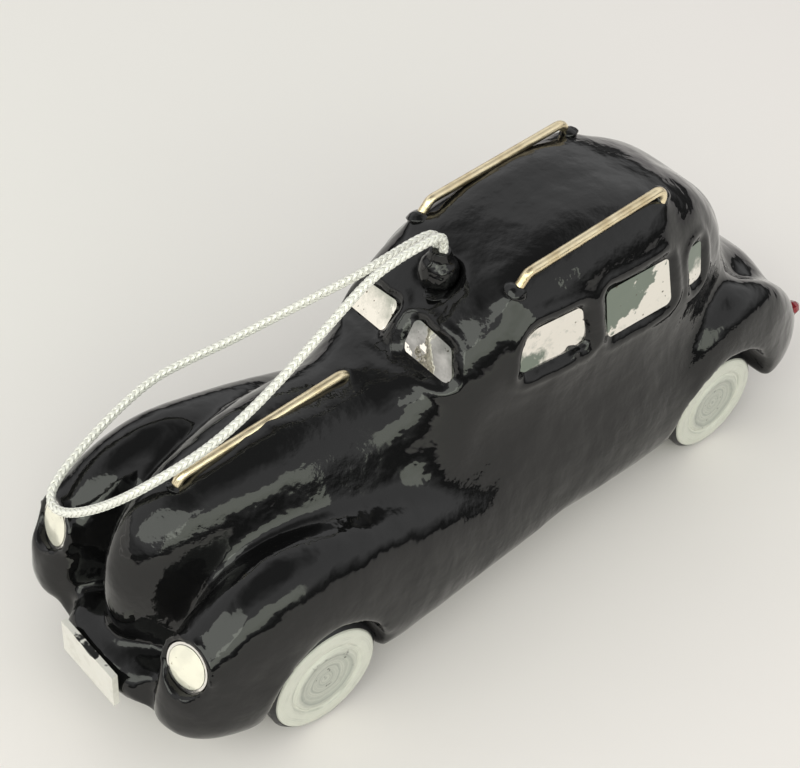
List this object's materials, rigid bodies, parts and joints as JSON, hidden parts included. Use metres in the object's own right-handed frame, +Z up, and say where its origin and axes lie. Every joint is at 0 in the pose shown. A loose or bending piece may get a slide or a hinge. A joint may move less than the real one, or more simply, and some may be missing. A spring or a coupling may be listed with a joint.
{
  "type": "model hearse ornament",
  "caption": "Small hanging ornament shaped as a 1940s black hearse, on wire axles with white-faced wheels, roof rails, mirror windows and a braided hanging loop.",
  "frame": {"origin": "on the ground, below the middle of the ornament between the plate and the tail lamps, the cord left out", "axes": "+X towards the front of the car, +Y its left side, +Z up"},
  "size_m": [0.1501, 0.051, 0.065],
  "materials": {
    "lacquer": "thick glossy black lacquer, softly uneven",
    "tyre_black": "black painted tread",
    "wheel_white": "brushed white paint with turned rings",
    "wire": "plain wire",
    "brass": "pale drawn brass wire",
    "bright_rim": "thin bright rim",
    "red_bead": "faceted red bead",
    "braid": "braided silver thread",
    "plate_white": "bare off-white plate, blank",
    "mirror": "silvered mirror pane"
  },
  "bodies": {
    "car": {"body": "lacquer", "bonnet_rod": "brass", "cord_loop": "braid", "door_window_left": "mirror", "door_window_right": "mirror", "front_plate": "plate_white", "hanging_knob": "lacquer", "headlamp_left": "mirror", "headlamp_right": "mirror", "headlamp_rim_left": "bright_rim", "headlamp_rim_right": "bright_rim", "load_window_left": "mirror", "load_window_right": "mirror", "quarter_window_left": "mirror", "quarter_window_right": "mirror", "rear_window": "mirror", "roof_rail_left": "brass", "roof_rail_right": "brass", "tail_lamp_left": "red_bead", "tail_lamp_right": "red_bead", "windscreen_left": "mirror", "windscreen_right": "mirror"},
    "front_wheelset": {"tyre_front_left": "tyre_black", "tyre_front_right": "tyre_black", "wheel_face_front_left": "wheel_white", "wheel_face_front_right": "wheel_white", "axle_front": "wire"},
    "rear_wheelset": {"tyre_rear_left": "tyre_black", "tyre_rear_right": "tyre_black", "wheel_face_rear_left": "wheel_white", "wheel_face_rear_right": "wheel_white", "axle_rear": "wire"}
  },
  "joints": [
    {"name": "front_axle_turns", "type": "hinge", "parent": "car", "child": "front_wheelset", "pos_m": [0.0475, 0, 0.0102], "axis": [0, 1, 0], "continuous": true},
    {"name": "rear_axle_turns", "type": "hinge", "parent": "car", "child": "rear_wheelset", "pos_m": [-0.0475, 0, 0.0102], "axis": [0, 1, 0], "continuous": true}
  ]
}
